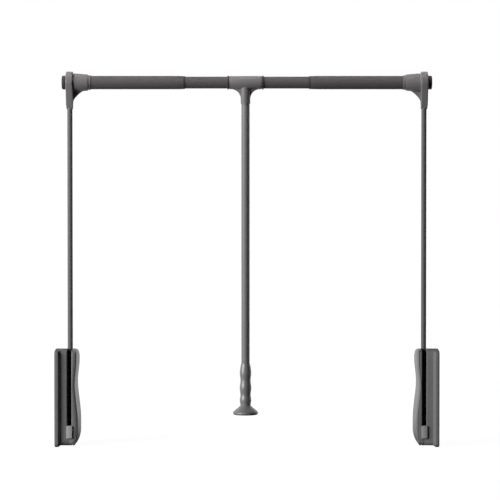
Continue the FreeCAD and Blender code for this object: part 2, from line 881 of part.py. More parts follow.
def damper_rod():
    """Damper's rod with its piston, fixed in the slider's lug."""
    rod_low = slider_top_z - damper_lug_height
    piston_low = damper_low_z + damper_end_wall + free_gap
    piston_top = piston_low + damper_piston_length
    rod = rod_z(damper_rod_radius, rod_low, piston_top, guide_x, damper_y)
    return fuse(rod, rod_z(damper_bore_radius - running_fit, piston_low, piston_top, guide_x, damper_y))


# Arm


def arm_tube():
    """Tube from the lever's shoulder into the elbow."""
    return ring_z(arm_radius, arm_bore, shoulder_z, arm_top_z, arm_x, pivot_y)


def teardrop_plate():
    """Elbow's hub and leg: a large round at the bar tapering to a small round at the arm."""
    leg_z = leg_low_z + leg_radius
    lean = math.asin((elbow_radius - leg_radius) / (bar_height - leg_z))
    across = math.cos(lean)
    down = math.sin(lean)

    def at(radius, z, y_way, z_way):
        return V(elbow_x0, pivot_y + radius * y_way, z + radius * z_way)

    rear_top = at(elbow_radius, bar_height, across, -down)
    front_top = at(elbow_radius, bar_height, -across, -down)
    rear_low = at(leg_radius, leg_z, across, -down)
    front_low = at(leg_radius, leg_z, -across, -down)
    edges = [
        arc(rear_top, at(elbow_radius, bar_height, 0, 1), front_top),
        line(front_top, front_low),
        arc(front_low, at(leg_radius, leg_z, 0, -1), rear_low),
        line(rear_low, rear_top),
    ]
    plate = Part.Face(Part.Wire(edges)).extrude(V(elbow_x1 - elbow_x0, 0, 0))
    rims = edges_in_plane_x(plate, elbow_x0) + edges_in_plane_x(plate, elbow_x1)
    plate = plate.makeFillet(elbow_edge, rims)
    wedges = [leg_wedge(elbow_x0, -1), leg_wedge(elbow_x1, 1)]
    collar = rod_z(leg_end_radius, leg_low_z, leg_z, arm_x, pivot_y)
    return fuse(plate.cut(Part.makeCompound(wedges)), collar)


def leg_wedge(face_x, side):
    """What is taken off one flat side of the leg so that it tapers to the arm tube."""
    y = pivot_y - elbow_radius
    end_x = arm_x + side * leg_end_radius
    points = [V(face_x, y, leg_low_z), V(end_x, y, leg_low_z), V(face_x, y, leg_low_z + leg_taper)]
    return closed_face(points).extrude(V(0, 2 * elbow_radius, 0))


def sleeve_body():
    """Barrel-sided socket for the bar, with a groove behind its mouth."""
    groove_x1 = sleeve_x1 - sleeve_lip
    groove_x0 = groove_x1 - sleeve_groove
    root = V(elbow_x1 - elbow_edge, pivot_y, bar_height)

    def at(x, radius):
        return V(x, pivot_y, bar_height + radius)

    barrel_x = (root.x + groove_x0) / 2
    barrel_radius = (sleeve_root_radius + sleeve_mouth_radius) / 2 + sleeve_barrel
    lip_end_radius = sleeve_lip_radius - sleeve_lip_edge
    floor_radius = sleeve_mouth_radius - sleeve_groove_depth
    barrel_low = at(root.x, sleeve_root_radius)
    barrel_high = at(groove_x0, sleeve_mouth_radius)
    edges = [
        line(root, barrel_low),
        arc(barrel_low, at(barrel_x, barrel_radius), barrel_high),
        line(barrel_high, at(groove_x0, floor_radius)),
        line(at(groove_x0, floor_radius), at(groove_x1, floor_radius)),
        line(at(groove_x1, floor_radius), at(groove_x1, sleeve_lip_radius)),
        line(at(groove_x1, sleeve_lip_radius), at(sleeve_x1, lip_end_radius)),
        line(at(sleeve_x1, lip_end_radius), at(sleeve_x1, 0)),
        line(at(sleeve_x1, 0), root),
    ]
    return Part.Face(Part.Wire(edges)).revolve(root, V(1, 0, 0), 360)


def elbow_web():
    """Flat rib with a hollow edge between the leg and the sleeve."""
    y = pivot_y - web_thickness / 2
    low_z = bar_height - web_drop
    start = V(elbow_x1, y, low_z)
    hollow = V(elbow_x1 + web_hollow_x, y, bar_height - web_hollow_drop)
    end = V(sleeve_x1 - sleeve_lip - sleeve_groove, y, bar_height - sleeve_mouth_radius + web_sink)
    outer_top = V(end.x, y, bar_height)
    inner_top = V(elbow_x1 - web_thickness, y, bar_height)
    inner_low = V(inner_top.x, y, low_z)
    edges = [
        curve([start, hollow, end], V(0, 0, 1), V(1, 0, 0)),
        line(end, outer_top),
        line(outer_top, inner_top),
        line(inner_top, inner_low),
        line(inner_low, start),
    ]
    return Part.Face(Part.Wire(edges)).extrude(V(0, web_thickness, 0))


def elbow_screw_place():
    """Place along the sleeve and height on the leg of the two clamping screws."""
    return (elbow_x1 + sleeve_length / 2, (leg_low_z + arm_top_z) / 2)


def elbow():
    """Moulded corner that joins the arm tube to the bar's outer tube."""
    body = fuse(teardrop_plate(), sleeve_body(), elbow_web())
    body = body.cut(rod_x(tube_bore_radius, tube_end_x, sleeve_x1, pivot_y, bar_height))
    body = body.cut(rod_z(arm_radius + seat_fit, leg_low_z, arm_top_z, arm_x, pivot_y))
    body = body.cut(
        rod_x(cap_spigot_radius + seat_fit, elbow_x0, elbow_x0 + cap_spigot_length, pivot_y, bar_height)
    )
    sleeve_x, leg_z = elbow_screw_place()
    hole = elbow_screw_radius + seat_fit
    reach_y = pivot_y + elbow_radius
    body = body.cut(rod_y(hole, pivot_y + tube_bore_radius / 2, reach_y, sleeve_x, bar_height))
    return body.cut(rod_y(hole, pivot_y + arm_radius / 2, reach_y, arm_x, leg_z))


def grub_screw(y0, length, x, z):
    """Headless screw with a six-sided key hole."""
    screw = rod_y(elbow_screw_radius, y0, y0 + length, x, z)
    corners = []
    for index in range(key_sides):
        angle = 2 * math.pi * index / key_sides
        corners.append(V(x + key_radius * math.cos(angle), y0 + length, z + key_radius * math.sin(angle)))
    return screw.cut(closed_face(corners).extrude(V(0, -key_depth, 0)))


def elbow_screws():
    """Clamping screws on the elbow's rear side: one on the bar, one on the arm."""
    sleeve_x, leg_z = elbow_screw_place()
    bar_screw = grub_screw(pivot_y + outer_tube_radius + seat_fit, elbow_screw_length, sleeve_x, bar_height)
    arm_screw = grub_screw(pivot_y + arm_radius + seat_fit, elbow_screw_length, arm_x, leg_z)
    return Part.makeCompound([bar_screw, arm_screw])


def end_cap():
    """Round plug on the wall side of the elbow."""
    x0 = elbow_x0 - cap_thickness
    cap = rod_x(cap_radius, x0, elbow_x0, pivot_y, bar_height)
    cap = cap.makeChamfer(cap_edge, edges_in_plane_x(cap, x0))
    spigot = rod_x(cap_spigot_radius, elbow_x0, elbow_x0 + cap_spigot_length, pivot_y, bar_height)
    return fuse(cap, spigot)


# Bar


def outer_tube():
    """Outer tube of the telescopic bar, thinned at its mouth."""
    x_taper = tube_mouth_x - mouth_taper_length

    def at(x, radius):
        return V(x, pivot_y, bar_height + radius)

    profile = closed_face(
        [
            at(tube_end_x, outer_tube_bore),
            at(tube_end_x, outer_tube_radius),
            at(x_taper, outer_tube_radius),
            at(tube_mouth_x, outer_tube_radius - mouth_taper),
            at(tube_mouth_x, outer_tube_bore),
        ]
    )
    return profile.revolve(V(0, pivot_y, bar_height), V(1, 0, 0), 360)


def guide_bush():
    """Plastic liner in the outer tube's mouth, with a ring that closes the gap to the inner tube."""
    liner = ring_x(
        outer_tube_bore - seat_fit,
        inner_tube_radius + running_fit,
        tube_mouth_x - bush_length,
        mouth_x,
        pivot_y,
        bar_height,
    )
    ring = ring_x(
        bush_ring_radius, inner_tube_radius + running_fit, tube_mouth_x, mouth_x, pivot_y, bar_height
    )
    return fuse(liner, ring)


def inner_tube():
    """Inner tube of the bar, right across the middle."""
    half = inner_tube_length / 2
    return ring_x(inner_tube_radius, inner_tube_radius - inner_tube_wall, -half, half, pivot_y, bar_height)


def end_guides():
    """Plastic guides on the ends of the inner tube that run in the outer tubes."""
    plug_radius = inner_tube_radius - inner_tube_wall - seat_fit
    end = inner_tube_length / 2
    inside = end - end_guide_length
    outside = end + end_guide_lip
    plug = rod_x(plug_radius, inside, end, pivot_y, bar_height)
    lip = rod_x(outer_tube_bore - running_fit, end, outside, pivot_y, bar_height)
    bore = rod_x(plug_radius - end_guide_wall, inside, outside, pivot_y, bar_height)
    guide = fuse(plug, lip).cut(bore)
    return Part.makeCompound([guide.mirror(V(0, 0, 0), V(1, 0, 0)), guide])


# Handle


def tee_web(side):
    """Flat rib with a hollow round edge between the tee's neck and its sleeve, on one side of the neck."""
    y = pivot_y - tee_web_thickness / 2
    neck_side_x = tee_x + side * neck_radius
    reach_x = neck_side_x + side * tee_web_radius
    low_z = bar_height - tee_radius - tee_web_radius
    centre = V(reach_x, y, low_z)
    start = V(neck_side_x, y, low_z)
    middle = centre + V(-side * tee_web_radius * diagonal, 0, tee_web_radius * diagonal)
    end = V(reach_x, y, low_z + tee_web_radius)
    outer_top = V(reach_x, y, bar_height)
    inner_top = V(neck_side_x - side * tee_web_thickness, y, bar_height)
    inner_low = V(inner_top.x, y, low_z)
    edges = [
        arc(start, middle, end),
        line(end, outer_top),
        line(outer_top, inner_top),
        line(inner_top, inner_low),
        line(inner_low, start),
    ]
    return Part.Face(Part.Wire(edges)).extrude(V(0, tee_web_thickness, 0))


def tee():
    """Sleeve that turns on the bar, with the neck and the two ribs that carry the handle."""
    x0 = tee_x - tee_length / 2
    x1 = tee_x + tee_length / 2
    sleeve = rod_x(tee_radius, x0, x1, pivot_y, bar_height)
    sleeve = sleeve.makeChamfer(tee_edge, edges_in_plane_x(sleeve, x0) + edges_in_plane_x(sleeve, x1))
    neck = rod_z(neck_radius, bar_height - neck_drop, bar_height, tee_x, pivot_y)
    body = fuse(sleeve, neck, tee_web(-1), tee_web(1))
    body = body.cut(rod_x(tee_bore_radius, x0, x1, pivot_y, bar_height))
    body = body.cut(rod_z(handle_radius + seat_fit, bar_height - neck_drop, handle_top_z, tee_x, pivot_y))
    screw_z = bar_height - tee_screw_drop
    hole = tee_screw_radius + seat_fit
    return body.cut(rod_y(hole, pivot_y + handle_radius / 2, pivot_y + tee_radius, tee_x, screw_z))


def tee_screw():
    """Small pin on the neck's rear side that holds the handle tube."""
    y0 = pivot_y + handle_radius + seat_fit
    return rod_y(tee_screw_radius, y0, pivot_y + neck_radius, tee_x, bar_height - tee_screw_drop)


def tee_rings():
    """Retaining rings on the inner tube at both ends of the tee."""
    near = tee_length / 2 + ring_gap
    rings = []
    for x0 in (tee_x - near - ring_width, tee_x + near):
        rings.append(
            ring_x(ring_radius, inner_tube_radius + seat_fit, x0, x0 + ring_width, pivot_y, bar_height)
        )
    return Part.makeCompound(rings)


def handle_tube():
    """Tube from the tee's neck down into the grip."""
    return ring_z(
        handle_radius, handle_radius - handle_wall, grip_low_z + grip_floor, handle_top_z, tee_x, pivot_y
    )


def grip():
    """Turned hand grip with three swellings."""

    def at(radius, drop):
        return V(tee_x + radius, pivot_y, grip_top_z - drop)

    bore = handle_radius + seat_fit
    side = [(drop, grip_bulge_radius) for drop in grip_bulges]
    side += [(drop, grip_waist_radius) for drop in grip_waists]
    side += [(grip_shoulder, grip_shoulder_radius), (grip_length, grip_waist_radius)]
    outline = curve([at(radius, drop) for drop, radius in sorted(side)])
    start = at(grip_shoulder_radius, grip_shoulder)
    foot = at(grip_waist_radius, grip_length)
    rim = at(bore + grip_lip, 0)
    edges = [
        line(at(bore, 0), rim),
        line(rim, start),
        outline,
        line(foot, at(bore - handle_wall, grip_length)),
        line(at(bore - handle_wall, grip_length), at(bore - handle_wall, grip_length - grip_floor)),
        line(at(bore - handle_wall, grip_length - grip_floor), at(bore, grip_length - grip_floor)),
        line(at(bore, grip_length - grip_floor), at(bore, 0)),
    ]
    return Part.Face(Part.Wire(edges)).revolve(V(tee_x, pivot_y, 0), V(0, 0, 1), 360)


def handle_foot():
    """Flared foot that keeps the hand from slipping off, hollow underneath, with a spigot in the tube."""

    def at(radius, height):
        return V(tee_x + radius, pivot_y, foot_low_z + height)

    spigot = handle_radius - handle_wall - seat_fit
    cone_low = foot_rim + foot_rim_round
    shoulder = at(foot_rim_radius - foot_rim_round, cone_low)
    top = at(grip_waist_radius, foot_height)
    flare = (shoulder + top) / 2 - V(1, 0, 1) * foot_flare_hollow
    rim_round = at(
        foot_rim_radius - foot_rim_round * (1 - diagonal), foot_rim + foot_rim_round * diagonal
    )
    lip = at(foot_rim_radius - foot_skin, 0)
    hollow_low = at(foot_rim_radius - foot_skin, foot_rim)
    hollow_top = at(spigot - foot_skin, foot_height - foot_skin)
    spigot_top = foot_height + foot_spigot_length
    edges = [
        arc(top, flare, shoulder),
        arc(shoulder, rim_round, at(foot_rim_radius, foot_rim)),
        line(at(foot_rim_radius, foot_rim), at(foot_rim_radius, 0)),
        line(at(foot_rim_radius, 0), lip),
        line(lip, hollow_low),
        line(hollow_low, hollow_top),
        line(hollow_top, at(0, foot_height - foot_skin)),
        line(at(0, foot_height - foot_skin), at(0, spigot_top)),
        line(at(0, spigot_top), at(spigot, spigot_top)),
        line(at(spigot, spigot_top), at(spigot, foot_height)),
        line(at(spigot, foot_height), top),
    ]
    return Part.Face(Part.Wire(edges)).revolve(V(tee_x, pivot_y, 0), V(0, 0, 1), 360)


# Placing and writing


def write(name, shape):
    """Write one piece."""
    shape.exportStep(os.path.join("parts", name + ".step"))


def place_left(shape):
    """Piece drawn from the wall, set against the left wall."""
    return shape.translated(V(-rail_width / 2, 0, 0))


def place_right(shape):
    """Piece drawn from the wall, mirrored against the right wall."""
    return shape.mirror(V(0, 0, 0), V(1, 0, 0)).translated(V(rail_width / 2, 0, 0))


PAIRED_PIECES = {
    "mounting_plate": mounting_plate,
    "base_shell": base_shell,
    "cover_shell": cover_shell,
    "face_panel": face_panel,
    "housing_screws": housing_screws,
    "stop_block": stop_block,
    "pivot_pin": pivot_pin,
    "pivot_bush": pivot_bush,
    "pivot_washers": pivot_washers,
    "lever": lever,
    "rack_slider": rack_slider,
    "guide_rod": guide_rod,
    "lift_spring": lift_spring,
    "damper_body": damper_body,
    "damper_rod": damper_rod,
    "arm_tube": arm_tube,
    "elbow": elbow,
    "elbow_screws": elbow_screws,
    "end_cap": end_cap,
    "outer_tube": outer_tube,
    "guide_bush": guide_bush,
}

MIDDLE_PIECES = {
    "inner_tube": inner_tube,
    "end_guides": end_guides,
    "tee": tee,
    "tee_screw": tee_screw,
    "tee_rings": tee_rings,
    "handle_tube": handle_tube,
    "grip": grip,
    "handle_foot": handle_foot,
}


def main():
    """Build every piece and write it."""
    os.makedirs("parts", exist_ok=True)
    for name, build in PAIRED_PIECES.items():
        shape = build()
        write("left_" + name, place_left(shape))
        write("right_" + name, place_right(shape))
    for name, build in MIDDLE_PIECES.items():
        write(name, build())


main()
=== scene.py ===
import json
import logging
import math
from dataclasses import dataclass, field
from enum import Enum
from typing import ClassVar

import bmesh
import bpy
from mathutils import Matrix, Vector

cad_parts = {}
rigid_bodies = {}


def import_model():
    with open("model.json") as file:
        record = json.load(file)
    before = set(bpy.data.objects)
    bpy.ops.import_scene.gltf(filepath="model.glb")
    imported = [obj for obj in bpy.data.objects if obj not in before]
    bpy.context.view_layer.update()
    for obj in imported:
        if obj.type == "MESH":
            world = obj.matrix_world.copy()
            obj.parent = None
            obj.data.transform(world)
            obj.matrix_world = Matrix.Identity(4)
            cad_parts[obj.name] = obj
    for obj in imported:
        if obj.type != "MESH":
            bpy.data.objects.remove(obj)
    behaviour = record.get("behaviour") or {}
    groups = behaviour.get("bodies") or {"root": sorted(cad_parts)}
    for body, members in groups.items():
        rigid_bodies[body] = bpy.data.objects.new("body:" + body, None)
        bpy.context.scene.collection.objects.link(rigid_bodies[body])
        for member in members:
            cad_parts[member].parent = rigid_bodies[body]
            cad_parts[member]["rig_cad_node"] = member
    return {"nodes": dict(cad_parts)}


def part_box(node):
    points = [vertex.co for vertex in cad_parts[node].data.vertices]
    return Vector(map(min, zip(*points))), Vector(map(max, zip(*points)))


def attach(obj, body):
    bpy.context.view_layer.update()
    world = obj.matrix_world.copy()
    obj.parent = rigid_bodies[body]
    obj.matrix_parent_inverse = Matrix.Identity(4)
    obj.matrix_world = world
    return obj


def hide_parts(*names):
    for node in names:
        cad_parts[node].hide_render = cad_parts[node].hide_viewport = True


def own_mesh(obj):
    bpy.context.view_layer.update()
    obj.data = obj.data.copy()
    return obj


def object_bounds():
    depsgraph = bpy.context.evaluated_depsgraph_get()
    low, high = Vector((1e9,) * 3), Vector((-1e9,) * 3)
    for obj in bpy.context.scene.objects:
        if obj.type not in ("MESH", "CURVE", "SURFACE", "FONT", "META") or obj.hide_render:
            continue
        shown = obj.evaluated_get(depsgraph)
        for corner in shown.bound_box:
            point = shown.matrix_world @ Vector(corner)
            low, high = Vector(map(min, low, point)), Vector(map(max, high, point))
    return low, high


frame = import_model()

# Looks of the pull-down closet rod: a telescopic bar on two swinging arms, spring housings at the walls
# and a pull handle on a turning tee. Metres, +Z up, +X to the viewer's right, the user stands at -Y.

LOG = logging.getLogger("closet_rod")
CAD_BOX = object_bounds()
MM = 0.001
UP = (0.0, 0.0, 1.0)
WHITE = (1.0, 1.0, 1.0, 1.0)

Triple = tuple[float, float, float]
Pair = tuple[float, float]
Socket = bpy.types.NodeSocket
Value = bpy.types.NodeSocket | float
Kinds = dict[str, str]


class Place(Enum):
    """Where a sub-assembly belongs; the value starts the names of its pieces."""

    LEFT = "left_"
    RIGHT = "right_"
    MIDDLE = ""


WALLS = (Place.LEFT, Place.RIGHT)


class Slot(Enum):
    """Material slots of the record."""

    HOUSING = "housing_plastic"
    PANEL = "panel_plastic"
    STOP = "stop_plastic"
    ELBOW = "elbow_plastic"
    GRIP = "grip_plastic"
    BLACK_PLASTIC = "black_plastic"
    BEARING = "bearing_plastic"
    SLIDER = "slider_plastic"
    BAR = "bar_metal"
    ARM = "arm_metal"
    HANDLE = "handle_metal"
    BLACK_STEEL = "black_steel"
    DAMPER = "damper_metal"
    ZINC = "zinc_steel"
    SPRING = "spring_steel"


# Shader node groups


@dataclass(frozen=True)
class Noise:
    """A noise texture, in features per metre and octaves."""

    scale: float
    octaves: float


@dataclass
class NodeSheet:
    """A shader node tree that is being drawn."""

    NOISE_ENDS: ClassVar[Pair] = (0.3, 0.7)
    OCTAVE_GAIN: ClassVar[float] = 0.55

    tree: bpy.types.NodeTree

    def add(self, kind: str, **values: object) -> bpy.types.Node:
        """Add one node.

        Args:
            kind: Blender's type name without its ShaderNode prefix.
            values: Inputs by name, with _ for each space, or else properties of the node.

        Returns:
            The new node.
        """
        made = self.tree.nodes.new("ShaderNode" + kind)
        for name, value in values.items():
            socket = made.inputs.get(name.replace("_", " "))
            if socket is None:
                setattr(made, name, value)
            else:
                socket.default_value = value
        return made

    def place(self, group: bpy.types.NodeTree, values: dict[str, object]) -> bpy.types.Node:
        """Place a node group.

        Args:
            group: The group.
            values: Inputs by name.

        Returns:
            The group's node.
        """
        made = self.tree.nodes.new("ShaderNodeGroup")
        made.node_tree = group
        for name, value in values.items():
            made.inputs[name].default_value = value
        return made

    def feed(self, value: Value, target: Socket) -> None:
        """Link a socket or set a number.

        Args:
            value: Socket or number that is fed in.
            target: Socket that takes it.
        """
        if isinstance(value, Socket):
            self.tree.links.new(value, target)
        else:
            target.default_value = value

    def calculate(self, operation: str, first: Value, second: Value) -> Socket:
        """Add a Math node.

        Args:
            operation: Blender's name of the operation.
            first: Socket or number.
            second: Socket or number.

        Returns:
            The result's socket.
        """
        made = self.add("Math", operation=operation)
        self.feed(first, made.inputs[0])
        self.feed(second, made.inputs[1])
        return made.outputs[0]

    def spread(self, value: Socket, low: Value, high: Value, ends: Pair = NOISE_ENDS) -> Socket:
        """Map a value onto a range.

        Args:
            value: Socket with the value.
            low: Socket or number for the value's low end.
            high: Socket or number for its high end.
            ends: The value's own low and high end.

        Returns:
            The result's socket.
        """
        made = self.add("MapRange", From_Min=ends[0], From_Max=ends[1])
        self.feed(value, made.inputs["Value"])
        self.feed(low, made.inputs["To Min"])
        self.feed(high, made.inputs["To Max"])
        return made.outputs["Result"]

    def sway(self, noise: Socket, middle: Value, reach: Value) -> Socket:
        """Let a noise move a value up and down.

        Args:
            noise: Socket with the noise.
            middle: Socket or number that it moves about.
            reach: Socket or number, how far it moves either way.

        Returns:
            The result's socket.
        """
        low = self.calculate("SUBTRACT", middle, reach)
        high = self.calculate("ADD", middle, reach)
        return self.spread(noise, low, high)

    def noise(self, place: Socket, scale: Value, octaves: float) -> Socket:
        """Add a noise texture.

        Args:
            place: Socket with the coordinates.
            scale: Socket or number, in features per metre.
            octaves: Number of octaves.

        Returns:
            The noise value's socket.
        """
        made = self.add("TexNoise", Detail=octaves, Roughness=self.OCTAVE_GAIN)
        self.feed(place, made.inputs["Vector"])
        self.feed(scale, made.inputs["Scale"])
        return made.outputs["Fac"]

    def tint(self, colour: Socket, factor: Socket) -> Socket:
        """Brighten or darken a colour.

        Args:
            colour: Socket with the colour.
            factor: Socket with the factor.

        Returns:
            The result's socket.
        """
        made = self.add("VectorMath", operation="SCALE")
        self.feed(colour, made.inputs[0])
        self.feed(factor, made.inputs["Scale"])
        return made.outputs[0]

    def blend(self, mask: Socket, below: Socket, above: Socket) -> Socket:
        """Lay one colour over another.

        Args:
            mask: Socket with the share of the upper colour.
            below: Socket with the lower colour.
            above: Socket with the upper colour.

        Returns:
            The result's socket.
        """
        made = self.add("Mix", data_type="RGBA")
        self.feed(mask, made.inputs["Factor"])
        self.feed(below, made.inputs["A"])
        self.feed(above, made.inputs["B"])
        return made.outputs["Result"]

    def coordinate(self, vector: Socket, axis: str) -> Socket:
        """Take one coordinate out of a vector.

        Args:
            vector: Socket with the vector.
            axis: X, Y or Z.

        Returns:
            The coordinate's socket.
        """
        made = self.add("SeparateXYZ")
        self.feed(vector, made.inputs[0])
        return made.outputs[axis]

    def object_place(self) -> Socket:
        """Coordinates in the piece's own space."""
        return self.add("TexCoord").outputs["Object"]

    def normal(self) -> Socket:
        """Direction that the surface faces."""
        return self.add("NewGeometry").outputs["Normal"]


@dataclass
class SurfaceGroups:
    """The surface effects that several finishes share, each a node group that is built once."""

    SURFACE_INPUTS: ClassVar[Kinds] = {"Colour": "Color", "Roughness": "Float", "Gloss Sway": "Float"}
    SURFACE_OUTPUTS: ClassVar[Kinds] = {"Colour": "Color", "Roughness": "Float", "Height": "Float"}
    LAYER_INPUTS: ClassVar[Kinds] = {"Colour": "Color", "Layer Colour": "Color", "Amount": "Float"}
    LAYER_OUTPUTS: ClassVar[Kinds] = {"Colour": "Color"}

    grain_octaves: float = 2.0
    flow: Noise = Noise(22.0, 4.0)
    flow_share: float = 0.6
    speck: Noise = Noise(420.0, 3.0)
    peel_octaves: float = 1.0
    fleck: Noise = Noise(2600.0, 1.0)
    cloud: Noise = Noise(9.0, 2.0)
    line_octaves: float = 3.0
    edge_samples: int = 4
    edge_turn: Pair = (0.02, 0.25)
    rub_and_sheen_break: Noise = Noise(160.0, 3.0)
    rub_and_sheen_least: float = 0.35
    dust_patch: Noise = Noise(70.0, 5.0)
    dust_least: float = 0.2

    def __post_init__(self) -> None:
        """Build every group."""
        self.moulded_grain = self._moulded_grain()
        self.coat_texture = self._coat_texture()
        self.drawn_lines = self._drawn_lines()
        self.rubbed_edges_and_sheen = self._rubbed_edges_and_sheen()
        self.settled_dust = self._settled_dust()

    def _start(
        self, name: str, inputs: Kinds, outputs: Kinds
    ) -> tuple[NodeSheet, bpy.types.NodeOutputs, bpy.types.NodeInputs]:
        """Make an empty group with its sockets.

        Args:
            name: Name of the group.
            inputs: Socket kind of each input.
            outputs: Socket kind of each output.

        Returns:
            The group's sheet, its inputs as sources and its outputs as targets.
        """
        tree = bpy.data.node_groups.new(name, "ShaderNodeTree")
        for way, sockets in (("INPUT", inputs), ("OUTPUT", outputs)):
            for label, kind in sockets.items():
                tree.interface.new_socket(label, in_out=way, socket_type="NodeSocket" + kind)
        source = tree.nodes.new("NodeGroupInput").outputs
        target = tree.nodes.new("NodeGroupOutput").inputs
        return NodeSheet(tree), source, target

    def _moulded_grain(self) -> bpy.types.NodeTree:
        """Draw the fine grain of a moulded plastic, with slow flow marks in colour and gloss.

        Returns:
            The group.
        """
        inputs = {**self.SURFACE_INPUTS, "Grain Scale": "Float", "Mottle": "Float"}
        sheet, source, target = self._start("moulded_grain", inputs, self.SURFACE_OUTPUTS)
        place = sheet.object_place()
        flow = sheet.noise(place, self.flow.scale, self.flow.octaves)
        speck = sheet.noise(place, self.speck.scale, self.speck.octaves)
        flow_part = sheet.calculate("MULTIPLY", flow, self.flow_share)
        speck_part = sheet.calculate("MULTIPLY", speck, 1.0 - self.flow_share)
        shade = sheet.sway(sheet.calculate("ADD", flow_part, speck_part), 1.0, source["Mottle"])
        sheet.feed(sheet.tint(source["Colour"], shade), target["Colour"])
        sheet.feed(sheet.sway(flow, source["Roughness"], source["Gloss Sway"]), target["Roughness"])
        sheet.feed(sheet.noise(place, source["Grain Scale"], self.grain_octaves), target["Height"])
        return sheet.tree

    def _coat_texture(self) -> bpy.types.NodeTree:
        """Draw the slight orange peel of a powder coat, with fine flecks.

        Returns:
            The group.
        """
        inputs = {**self.SURFACE_INPUTS, "Peel Scale": "Float", "Fleck": "Float"}
        sheet, source, target = self._start("coat_texture", inputs, self.SURFACE_OUTPUTS)
        place = sheet.object_place()
        fleck = sheet.noise(place, self.fleck.scale, self.fleck.octaves)
        cloud = sheet.noise(place, self.cloud.scale, self.cloud.octaves)
        shade = sheet.sway(fleck, 1.0, source["Fleck"])
        sheet.feed(sheet.tint(source["Colour"], shade), target["Colour"])
        sheet.feed(sheet.sway(cloud, source["Roughness"], source["Gloss Sway"]), target["Roughness"])
        sheet.feed(sheet.noise(place, source["Peel Scale"], self.peel_octaves), target["Height"])
        return sheet.tree

    def _drawn_lines(self) -> bpy.types.NodeTree:
        """Draw the fine lengthwise lines of drawn or ground steel.

        Returns:
            The group.
        """
        inputs = {**self.SURFACE_INPUTS, "Line Scale": "Float", "Squeeze": "Vector", "Contrast": "Float"}
        sheet, source, target = self._start("drawn_lines", inputs, self.SURFACE_OUTPUTS)
        place = sheet.add("VectorMath", operation="MULTIPLY")
        sheet.feed(sheet.object_place(), place.inputs[0])
        sheet.feed(source["Squeeze"], place.inputs[1])
        lines = sheet.noise(place.outputs[0], source["Line Scale"], self.line_octaves)
        shade = sheet.sway(lines, 1.0, source["Contrast"])
        sheet.feed(sheet.tint(source["Colour"], shade), target["Colour"])
        sheet.feed(sheet.sway(lines, source["Roughness"], source["Gloss Sway"]), target["Roughness"])
        sheet.feed(lines, target["Height"])
        return sheet.tree

    def _rubbed_edges_and_sheen(self) -> bpy.types.NodeTree:
        """Draw a slightly paler, broken line along edges: partly wear from hands and clothes, partly a
        painted highlight along the edges.

        Returns:
            The group.
        """
        inputs = {**self.LAYER_INPUTS, "Width": "Float"}
        sheet, source, target = self._start("rubbed_edges_and_sheen", inputs, self.LAYER_OUTPUTS)
        bevel = sheet.add("Bevel", samples=self.edge_samples)
        sheet.feed(source["Width"], bevel.inputs["Radius"])
        across = sheet.add("VectorMath", operation="DOT_PRODUCT")
        sheet.feed(bevel.outputs["Normal"], across.inputs[0])
        sheet.feed(sheet.normal(), across.inputs[1])
        turn = sheet.calculate("SUBTRACT", 1.0, across.outputs["Value"])
        edge = sheet.spread(turn, 0.0, 1.0, self.edge_turn)
        noise = sheet.noise(sheet.object_place(), self.rub_and_sheen_break.scale, self.rub_and_sheen_break.octaves)
        broken = sheet.calculate("MULTIPLY", edge, sheet.spread(noise, self.rub_and_sheen_least, 1.0))
        # The paler edge line is partly wear and partly a painted highlight along every sharp edge.
        mask = sheet.calculate("MULTIPLY", broken, source["Amount"])
        sheet.feed(sheet.blend(mask, source["Colour"], source["Layer Colour"]), target["Colour"])
        return sheet.tree

    def _settled_dust(self) -> bpy.types.NodeTree:
        """Draw thin dust on faces that look up.

        Returns:
            The group.
        """
        sheet, source, target = self._start("settled_dust", self.LAYER_INPUTS, self.LAYER_OUTPUTS)
        upward = sheet.calculate("MAXIMUM", sheet.coordinate(sheet.normal(), "Z"), 0.0)
        noise = sheet.noise(sheet.object_place(), self.dust_patch.scale, self.dust_patch.octaves)
        patchy = sheet.calculate("MULTIPLY", upward, sheet.spread(noise, self.dust_least, 1.0))
        mask = sheet.calculate("MULTIPLY", patchy, source["Amount"])
        sheet.feed(sheet.blend(mask, source["Colour"], source["Layer Colour"]), target["Colour"])
        return sheet.tree


# Finishes


